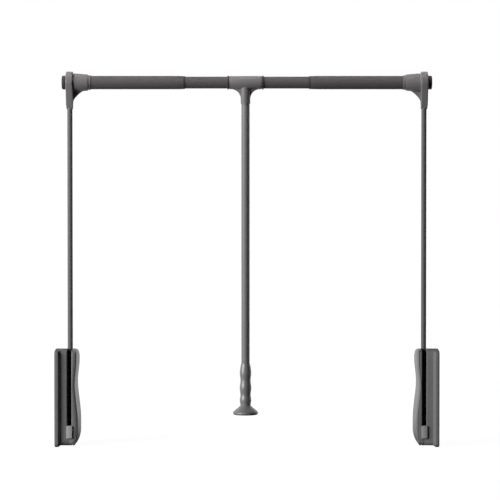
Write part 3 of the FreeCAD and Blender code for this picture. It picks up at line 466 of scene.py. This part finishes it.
@dataclass(frozen=True)
class Finish:
    """What every finish has: its slot in the record, its colour, how it shines and how it wears, with a
    paler edge line that is partly wear and partly a painted highlight.
    """

    slot: Slot
    colour: Triple
    roughness: float
    gloss_sway: float = 0.04
    specular: float = 0.25
    metallic: float = 0.0
    bump: float = 0.04
    bump_depth: float = 0.08 * MM
    rub_and_sheen: float = 0.25
    rub_and_sheen_gain: float = 2.2
    rub_and_sheen_width: float = 0.8 * MM
    dust: float = 0.03
    dust_colour: Triple = (0.42, 0.40, 0.37)

    def texture(self, groups: SurfaceGroups) -> tuple[bpy.types.NodeTree, dict[str, object]]:
        """Surface group with its own values; each kind of finish has another."""
        raise NotImplementedError

    def material(self, groups: SurfaceGroups) -> bpy.types.Material:
        """Make the material.

        Args:
            groups: The shared surface effects.

        Returns:
            The new material.
        """
        made = bpy.data.materials.new(self.slot.value)
        made.use_nodes = True
        sheet = NodeSheet(made.node_tree)
        shader = made.node_tree.nodes["Principled BSDF"]
        shader.inputs["Metallic"].default_value = self.metallic
        shader.inputs["Specular IOR Level"].default_value = self.specular

        group, values = self.texture(groups)
        values |= {
            "Colour": (*self.colour, 1.0),
            "Roughness": self.roughness,
            "Gloss Sway": self.gloss_sway,
        }
        surface = sheet.place(group, values)
        sheet.feed(surface.outputs["Roughness"], shader.inputs["Roughness"])

        # Paler edge colour: partly wear, partly a painted edge highlight.
        rubbed_and_sheen_colour = tuple(min(1.0, part * self.rub_and_sheen_gain) for part in self.colour)
        values = {"Layer Colour": (*rubbed_and_sheen_colour, 1.0), "Width": self.rub_and_sheen_width, "Amount": self.rub_and_sheen}
        edges = sheet.place(groups.rubbed_edges_and_sheen, values)
        sheet.feed(surface.outputs["Colour"], edges.inputs["Colour"])

        values = {"Layer Colour": (*self.dust_colour, 1.0), "Amount": self.dust}
        dusty = sheet.place(groups.settled_dust, values)
        sheet.feed(edges.outputs["Colour"], dusty.inputs["Colour"])
        sheet.feed(dusty.outputs["Colour"], shader.inputs["Base Color"])

        bump = sheet.add("Bump", Strength=self.bump, Distance=self.bump_depth)
        sheet.feed(surface.outputs["Height"], bump.inputs["Height"])
        sheet.feed(bump.outputs["Normal"], shader.inputs["Normal"])
        return made


@dataclass(frozen=True)
class MouldedPlastic(Finish):
    """Injection-moulded plastic with a fine grain."""

    grain_scale: float = 1500.0
    mottle: float = 0.04

    def texture(self, groups: SurfaceGroups) -> tuple[bpy.types.NodeTree, dict[str, object]]:
        """Moulded grain with its scale and how uneven its colour is."""
        return groups.moulded_grain, {"Grain Scale": self.grain_scale, "Mottle": self.mottle}


@dataclass(frozen=True)
class PowderCoat(Finish):
    """Powder-coated steel."""

    peel_scale: float = 420.0
    fleck: float = 0.03

    def texture(self, groups: SurfaceGroups) -> tuple[bpy.types.NodeTree, dict[str, object]]:
        """Orange peel with its scale and how strong its flecks are."""
        return groups.coat_texture, {"Peel Scale": self.peel_scale, "Fleck": self.fleck}


@dataclass(frozen=True)
class BareSteel(Finish):
    """Bare or plated steel with drawing lines, which run upright."""

    metallic: float = 1.0
    line_scale: float = 1800.0
    squeeze: Triple = (1.0, 1.0, 0.02)
    contrast: float = 0.15

    def texture(self, groups: SurfaceGroups) -> tuple[bpy.types.NodeTree, dict[str, object]]:
        """Drawing lines with their scale, how long they are and how strong."""
        values = {"Line Scale": self.line_scale, "Squeeze": self.squeeze, "Contrast": self.contrast}
        return groups.drawn_lines, values


FINISHES: tuple[Finish, ...] = (
    MouldedPlastic(Slot.HOUSING, (0.190, 0.188, 0.190), 0.62, specular=0.1),
    MouldedPlastic(Slot.PANEL, (0.190, 0.188, 0.190), 0.45, specular=0.4),
    MouldedPlastic(Slot.STOP, (0.360, 0.358, 0.358), 0.60),
    MouldedPlastic(Slot.ELBOW, (0.190, 0.178, 0.182), 0.40, specular=0.45, rub_and_sheen=0.1),
    MouldedPlastic(Slot.GRIP, (0.190, 0.188, 0.190), 0.38, specular=0.8, bump=0.01),
    MouldedPlastic(Slot.BLACK_PLASTIC, (0.050, 0.050, 0.050), 0.45),
    MouldedPlastic(Slot.BEARING, (0.750, 0.740, 0.700), 0.50, rub_and_sheen=0.0),
    MouldedPlastic(Slot.SLIDER, (0.060, 0.060, 0.060), 0.50),
    PowderCoat(Slot.BAR, (0.108, 0.097, 0.100), 0.50, specular=0.1),
    PowderCoat(Slot.ARM, (0.138, 0.138, 0.139), 0.45, specular=0.15, bump=0.01),
    PowderCoat(Slot.HANDLE, (0.200, 0.200, 0.200), 0.45),
    PowderCoat(Slot.BLACK_STEEL, (0.030, 0.030, 0.030), 0.45),
    BareSteel(Slot.DAMPER, (0.450, 0.450, 0.460), 0.30),
    BareSteel(Slot.ZINC, (0.550, 0.550, 0.560), 0.35),
    BareSteel(Slot.SPRING, (0.300, 0.300, 0.310), 0.38),
)


class FinishBook:
    """The materials, looked up by their slots."""

    def __init__(self) -> None:
        """Make every material once."""
        groups = SurfaceGroups()
        self._materials = {finish.slot: finish.material(groups) for finish in FINISHES}

    def dress(self, piece: bpy.types.Object, slot: Slot) -> None:
        """Give a piece its material.

        Args:
            piece: Node of the frame or new piece.
            slot: Slot of the finish.
        """
        piece.data.materials.clear()
        piece.data.materials.append(self._materials[slot])


# Pieces


def stand_in(mesh: bpy.types.Mesh, kind: str, node: str, body: str) -> bpy.types.Object:
    """Put a new piece in the place of a node.

    Args:
        mesh: Shape of the piece.
        kind: What it is; the end of its name.
        node: Node of the frame that it replaces.
        body: Body that carries it.

    Returns:
        The new piece.
    """
    mesh.name = f"{node}_{kind}"
    piece = bpy.data.objects.new(mesh.name, mesh)
    bpy.context.scene.collection.objects.link(piece)
    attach(piece, body)
    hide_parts(node)
    return piece


@dataclass(frozen=True)
class SoftEdge:
    """How the edges of a moulded piece are rounded off."""

    radius: float
    segments: int = 2
    roundness: float = 0.5
    weld: float = 0.002 * MM
    flat: float = math.radians(0.6)
    sharp: float = math.radians(32.0)

    def copy(self, node: str, body: str) -> bpy.types.Object:
        """Stand a soft-edged copy in for a node.

        Args:
            node: Node of the frame.
            body: Body that carries it.

        Returns:
            The new piece.
        """
        mesh = frame["nodes"][node].data.copy()
        self._round_off(mesh)
        return stand_in(mesh, "moulding", node, body)

    def _round_off(self, mesh: bpy.types.Mesh) -> None:
        """Bevel the sharp edges of a mesh and shade the rest smoothly.

        Args:
            mesh: The mesh, which is changed.
        """
        if "custom_normal" in mesh.attributes:
            mesh.attributes.remove(mesh.attributes["custom_normal"])
        work = bmesh.new()
        work.from_mesh(mesh)
        bmesh.ops.remove_doubles(work, verts=work.verts, dist=self.weld)
        bmesh.ops.dissolve_limit(work, angle_limit=self.flat, verts=work.verts, edges=work.edges)
        edges = [e for e in work.edges if e.is_manifold and e.calc_face_angle() > self.sharp]
        bmesh.ops.bevel(
            work,
            geom=edges,
            offset=self.radius,
            offset_type="OFFSET",
            segments=self.segments,
            profile=self.roundness,
            affect="EDGES",
            clamp_overlap=True,
        )
        bmesh.ops.triangulate(work, faces=work.faces)
        work.to_mesh(mesh)
        work.free()
        mesh.shade_smooth()
        mesh.set_sharp_from_angle(angle=self.sharp)


@dataclass(frozen=True)
class Turning:
    """A piece turned about an upright axis; its outline is in millimetres, from the node's foot up."""

    node: str
    body: str
    steps: int = 96
    wave_steps: int = 10
    weld: float = 0.01 * MM
    sharp: float = math.radians(35.0)

    def outline(self) -> list[Pair]:
        """Radius and height of each point around the section; each piece has its own."""
        raise NotImplementedError

    def build(self) -> bpy.types.Object:
        """Turn the piece and stand it in for its node.

        Returns:
            The new piece.
        """
        low, high = (Vector(corner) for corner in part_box(self.node))
        axis = Vector(((low.x + high.x) / 2, (low.y + high.y) / 2, low.z))
        work = bmesh.new()
        places = [axis + Vector((radius * MM, 0.0, height * MM)) for radius, height in self.outline()]
        ring = [work.verts.new(place) for place in places]
        edges = [work.edges.new(pair) for pair in zip(ring, ring[1:] + ring[:1])]
        bmesh.ops.spin(work, geom=ring + edges, cent=axis, axis=UP, angle=2 * math.pi, steps=self.steps)
        bmesh.ops.remove_doubles(work, verts=work.verts, dist=self.weld)
        bmesh.ops.recalc_face_normals(work, faces=work.faces)
        mesh = bpy.data.meshes.new(self.node)
        work.to_mesh(mesh)
        work.free()
        mesh.shade_smooth()
        mesh.set_sharp_from_angle(angle=self.sharp)
        return stand_in(mesh, "turning", self.node, self.body)

    def wave(self, start: Pair, end: Pair) -> list[Pair]:
        """Half a wave from one swelling or waist to the next.

        Args:
            start: Radius and height where it starts.
            end: Radius and height where it ends.

        Returns:
            The points after the start.
        """
        points = []
        for step in range(1, self.wave_steps + 1):
            share = step / self.wave_steps
            rise = (1 - math.cos(math.pi * share)) / 2
            points.append((start[0] + (end[0] - start[0]) * rise, start[1] + (end[1] - start[1]) * share))
        return points


@dataclass(frozen=True)
class GripTurning(Turning):
    """Hand grip with three swellings over the handle tube."""

    bore: float = 9.05
    bore_foot: float = 4.0
    inner: float = 7.85
    length: float = 91.0
    top: float = 9.6
    swellings: tuple[Pair, ...] = ((12.5, 70.0), (12.7, 38.5), (12.5, 12.5))
    waists: tuple[Pair, ...] = ((11.1, 54.5), (11.2, 22.5), (11.2, 0.0))

    def outline(self) -> list[Pair]:
        """Go from the top down the outside, then up the bore.

        Returns:
            Radius and height of each point.
        """
        first, first_height = self.swellings[0]
        points = [(self.top, self.length)]
        for step in range(1, self.wave_steps + 1):
            share = step / self.wave_steps
            radius = self.top + (first - self.top) * math.sin(math.pi / 2 * share)
            points.append((radius, self.length + (first_height - self.length) * share))
        stops = [stop for pair in zip(self.swellings, self.waists) for stop in pair]
        for start, end in zip(stops, stops[1:]):
            points += self.wave(start, end)
        points += [(self.inner, 0.0), (self.inner, self.bore_foot), (self.bore, self.bore_foot)]
        return points + [(self.bore, self.length)]


@dataclass(frozen=True)
class FootTurning(Turning):
    """Flared foot with a rounded rim, hollow underneath."""

    neck: float = 11.2
    height: float = 20.0
    flare: tuple[Pair, ...] = ((14.2, 16.9), (17.3, 14.3), (20.4, 11.9), (23.4, 9.5))
    rim: float = 27.3
    rim_round: float = 4.0
    rim_start: float = math.radians(55.0)
    skin: float = 2.4
    spigot: float = 7.7
    spigot_top: float = 34.0

    def outline(self) -> list[Pair]:
        """Go from the neck down the flare, round the rim, through the hollow and up the spigot.

        Returns:
            Radius and height of each point.
        """
        centre = self.rim - self.rim_round
        points = [(self.neck, self.height), *self.flare]
        for step in range(self.wave_steps + 1):
            turn = self.rim_start - (self.rim_start + math.pi / 2) * step / self.wave_steps
            radius = centre + self.rim_round * math.cos(turn)
            points.append((radius, self.rim_round + self.rim_round * math.sin(turn)))
        points += [(centre, self.skin), (self.spigot - self.skin, self.height - self.skin)]
        points += [(0.0, self.height - self.skin), (0.0, self.spigot_top)]
        return points + [(self.spigot, self.spigot_top), (self.spigot, self.height)]


@dataclass(frozen=True)
class LiftSpring:
    """Compression spring in a housing, which the rack slider shortens as the arm swings down."""

    node: str
    body: str
    joint: str
    seat: float

    def build(self) -> bpy.types.Object:
        """Stand a copy of the coil in for the rigid one.

        Returns:
            The new piece.
        """
        piece = stand_in(frame["nodes"][self.node].data.copy(), "coil", self.node, self.body)
        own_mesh(piece)
        return piece


# Sub-assemblies


@dataclass
class Assembly:
    """Pieces of one body: what each is made of, and what stands in for some of them."""

    BODY: ClassVar[str]
    SLOTS: ClassVar[dict[str, Slot]]
    MOULDED: ClassVar[tuple[str, ...]]

    place: Place
    edge: SoftEdge = SoftEdge(0.4 * MM)
    stand_ins: dict[str, bpy.types.Object] = field(default_factory=dict, init=False)

    def full(self, name: str) -> str:
        """Name of a piece, body or joint with the place it belongs to."""
        return self.place.value + name

    def build(self) -> None:
        """Make the soft-edged mouldings."""
        for name in self.MOULDED:
            self.stand_ins[name] = self.edge.copy(self.full(name), self.full(self.BODY))

    def dress(self, book: FinishBook) -> list[str]:
        """Give every piece its finish.

        Args:
            book: The materials.

        Returns:
            Names of the dressed pieces.
        """
        dressed = []
        for name, slot in self.SLOTS.items():
            pieces = [frame["nodes"][self.full(name)]]
            if name in self.stand_ins:
                pieces.append(self.stand_ins[name])
            for piece in pieces:
                book.dress(piece, slot)
                dressed.append(piece.name)
        return dressed


@dataclass
class Housing(Assembly):
    """Spring housing at one wall, with the mechanism inside it."""

    BODY = "housing"
    SLOTS = {
        "mounting_plate": Slot.HOUSING,
        "base_shell": Slot.HOUSING,
        "cover_shell": Slot.HOUSING,
        "face_panel": Slot.PANEL,
        "housing_screws": Slot.ZINC,
        "stop_block": Slot.STOP,
        "pivot_pin": Slot.ZINC,
        "pivot_washers": Slot.BEARING,
        "guide_rod": Slot.ZINC,
        "lift_spring": Slot.SPRING,
        "damper_body": Slot.DAMPER,
        "rack_slider": Slot.SLIDER,
        "damper_rod": Slot.ZINC,
    }
    MOULDED = ("mounting_plate", "base_shell", "cover_shell", "face_panel", "stop_block")

    edge: SoftEdge = SoftEdge(0.5 * MM)
    spring_seat: float = 174.0 * MM

    def build(self) -> None:
        """Make the mouldings and the copy of the coil."""
        super().build()
        spring = LiftSpring(
            self.full("lift_spring"), self.full(self.BODY), self.full("slider_lift"), self.spring_seat
        )
        self.stand_ins["lift_spring"] = spring.build()


@dataclass
class Arm(Assembly):
    """Swinging arm at one wall: lever, tube, elbow and the outer half of the bar."""

    BODY = "arm"
    SLOTS = {
        "lever": Slot.BLACK_STEEL,
        "pivot_bush": Slot.BEARING,
        "arm_tube": Slot.ARM,
        "elbow": Slot.ELBOW,
        "elbow_screws": Slot.ZINC,
        "end_cap": Slot.BLACK_PLASTIC,
        "outer_tube": Slot.BAR,
        "guide_bush": Slot.BLACK_PLASTIC,
    }
    MOULDED = ("elbow", "end_cap")


@dataclass
class Bar(Assembly):
    """Inner tube of the bar with its guides and the tee's retaining rings."""

    BODY = "centre_rod"
    SLOTS = {
        "inner_tube": Slot.BAR,
        "end_guides": Slot.BLACK_PLASTIC,
        "tee_rings": Slot.BLACK_PLASTIC,
    }
    MOULDED = ("tee_rings",)

    place: Place = Place.MIDDLE
    edge: SoftEdge = SoftEdge(0.3 * MM)


@dataclass
class Handle(Assembly):
    """Tee on the bar with the pull handle."""

    BODY = "handle"
    SLOTS = {
        "tee": Slot.ELBOW,
        "tee_screw": Slot.ZINC,
        "handle_tube": Slot.HANDLE,
        "grip": Slot.GRIP,
        "handle_foot": Slot.GRIP,
    }
    MOULDED = ("tee",)

    place: Place = Place.MIDDLE
    grip: GripTurning = GripTurning("grip", BODY)
    foot: FootTurning = FootTurning("handle_foot", BODY)

    def build(self) -> None:
        """Make the moulded tee and the turned grip and foot."""
        super().build()
        for turning in (self.grip, self.foot):
            self.stand_ins[turning.node] = turning.build()


# Studio


@dataclass(frozen=True)
class Lamp:
    """One soft box, which gloss may show or not; its spread is in degrees."""

    name: str
    stand: Triple
    aim: Triple
    width: float
    height: float
    watts: float
    spread: float = 180.0
    mirrored: bool = True

    def build(self) -> None:
        """Hang the soft box."""
        light = bpy.data.lights.new(self.name, "AREA")
        light.shape = "RECTANGLE"
        light.size = self.width
        light.size_y = self.height
        light.energy = self.watts
        light.spread = math.radians(self.spread)
        lamp = bpy.data.objects.new(self.name, light)
        lamp.location = self.stand
        way = Vector(self.aim) - Vector(self.stand)
        lamp.rotation_euler = way.to_track_quat("-Z", "Y").to_euler()
        lamp.visible_camera = False
        lamp.visible_glossy = self.mirrored
        bpy.context.scene.collection.objects.link(lamp)


@dataclass(frozen=True)
class StripRow:
    """Row of short lamps close above the bar, end to end along X; stand and aim are Y and Z."""

    count: int = 7
    length: float = 0.16
    depth: float = 0.05
    stand: Pair = (-0.065, 0.955)
    aim: Pair = (-0.02, 0.787)
    watts: float = 0.019
    spread: float = 26.0

    def lamps(self) -> list[Lamp]:
        """Set out the row.

        Returns:
            The lamps from left to right.
        """
        row = []
        for number in range(self.count):
            x = (number - (self.count - 1) / 2) * self.length
            row.append(
                Lamp(
                    f"bar_strip_{number}",
                    (x, *self.stand),
                    (x, *self.aim),
                    self.length,
                    self.depth,
                    self.watts,
                    self.spread,
                    mirrored=False,
                )
            )
        return row


@dataclass
class Studio:
    """Floor, light and camera."""

    key: Lamp = Lamp("key_box", (-3.30, -2.23, 1.25), (0.0, -0.02, 0.38), 2.6, 2.4, 212.0)
    strips: StripRow = StripRow()
    fill: Lamp = Lamp("back_fill", (3.4, 2.2, 0.6), (0.0, 0.0, 0.4), 2.6, 1.0, 85.0, mirrored=False)
    floor_reach: float = 40.0
    # Floor glow by distance from the object: painted light that makes up for the lamps' falloff.
    floor_falloff_rings: Pair = (0.3, 2.5)
    floor_falloff_glow: Pair = (0.96, 1.0)
    floor_bounce: float = 0.12
    sky_light: float = 0.02
    room_ends: Pair = (0.1, 0.6)
    camera_height: float = 0.54
    camera_distance: float = 5.0
    aim_x: float = 0.0067
    aim_z: float = 0.4257
    front_y: float = -0.058
    frame_width: float = 1.075
    sensor: float = 36.0

    def build(self) -> None:
        """Set up the whole studio."""
        self._floor()
        self._sky()
        for lamp in (self.key, *self.strips.lamps(), self.fill):
            lamp.build()
        self._camera()

    def _shown(self, sheet: NodeSheet, depth: Socket) -> Socket:
        """Mask of the rays that show the white surround.

        Gloss and glass show it too, but for the room in front of the object, which stays dark.

        Args:
            sheet: Tree that is being drawn.
            depth: Socket that is negative in front of the object and positive behind it.

        Returns:
            The mask's socket.
        """
        rays = sheet.add("LightPath").outputs
        behind = sheet.spread(depth, 0.0, 1.0, self.room_ends)
        mirrored = sheet.calculate("MAXIMUM", rays["Is Glossy Ray"], rays["Is Transmission Ray"])
        mirrored = sheet.calculate("MULTIPLY", mirrored, behind)
        return sheet.calculate("MAXIMUM", rays["Is Camera Ray"], mirrored)

    def _floor(self) -> None:
        """Lay a pale floor that keeps the object's shadow."""
        mesh = bpy.data.meshes.new("floor")
        reach = self.floor_reach
        corners = [(-reach, -reach), (reach, -reach), (reach, reach), (-reach, reach)]
        mesh.from_pydata([(*corner, CAD_BOX[0].z) for corner in corners], [], [(0, 1, 2, 3)])
        floor = bpy.data.objects.new("floor", mesh)
        bpy.context.scene.collection.objects.link(floor)
        mesh.materials.append(self._floor_paint())

    def _floor_paint(self) -> bpy.types.Material:
        """Mix the floor's matt paint, which glows white where it is seen; the glow is a little weaker
        near the object and full far away, painted light that makes up for the lamps' falloff over the
        floor.

        Returns:
            The new material.
        """
        paint = bpy.data.materials.new("pale_floor")
        paint.use_nodes = True
        sheet = NodeSheet(paint.node_tree)
        paint.node_tree.nodes.clear()
        place = sheet.add("NewGeometry").outputs["Position"]
        away = sheet.add("VectorMath", operation="LENGTH")
        sheet.feed(place, away.inputs[0])
        # Painted light: the glow rises with distance to make up for the lamps' falloff.
        white = sheet.spread(away.outputs["Value"], *self.floor_falloff_glow, self.floor_falloff_rings)
        shown = self._shown(sheet, sheet.coordinate(place, "Y"))
        matt = sheet.add("BsdfDiffuse", Color=(self.floor_bounce,) * 3 + (1.0,))
        glow = sheet.add("Emission", Color=WHITE)
        sheet.feed(sheet.calculate("MULTIPLY", shown, white), glow.inputs["Strength"])
        both = sheet.add("AddShader")
        sheet.feed(matt.outputs[0], both.inputs[0])
        sheet.feed(glow.outputs[0], both.inputs[1])
        sheet.feed(both.outputs[0], sheet.add("OutputMaterial").inputs["Surface"])
        return paint

    def _sky(self) -> None:
        """Hang a white surround for the eye that gives plain grey light to the object."""
        world = bpy.data.worlds.new("surround")
        bpy.context.scene.world = world
        world.use_nodes = True
        sheet = NodeSheet(world.node_tree)
        world.node_tree.nodes.clear()
        way = sheet.add("TexCoord").outputs["Generated"]
        shown = self._shown(sheet, sheet.coordinate(way, "Y"))
        glow = sheet.add("Background", Color=WHITE)
        sheet.feed(sheet.spread(shown, self.sky_light, 1.0, (0.0, 1.0)), glow.inputs["Strength"])
        sheet.feed(glow.outputs[0], sheet.add("OutputWorld").inputs["Surface"])

    def _camera(self) -> None:
        """Stand the camera where the photograph was taken."""
        lens = bpy.data.cameras.new("camera")
        camera = bpy.data.objects.new("camera", lens)
        bpy.context.scene.collection.objects.link(camera)
        camera.location = (self.aim_x, -self.camera_distance, self.camera_height)
        aim = Vector((self.aim_x, self.front_y, self.aim_z))
        way = aim - camera.location
        camera.rotation_euler = way.to_track_quat("-Z", "Y").to_euler()
        lens.sensor_width = self.sensor
        lens.lens = self.sensor * way.length / self.frame_width
        bpy.context.scene.camera = camera


def main() -> None:
    """Build and dress the rod, then light it."""
    logging.basicConfig(level=logging.INFO, format="%(name)s: %(message)s")
    bpy.context.scene.view_settings.view_transform = "Standard"
    book = FinishBook()
    assemblies = [*map(Housing, WALLS), *map(Arm, WALLS), Bar(), Handle()]
    for assembly in assemblies:
        assembly.build()
        for name in assembly.dress(book):
            LOG.info("%s: %s", type(assembly).__name__, name)
    Studio().build()


if __name__ == "__main__":
    main()
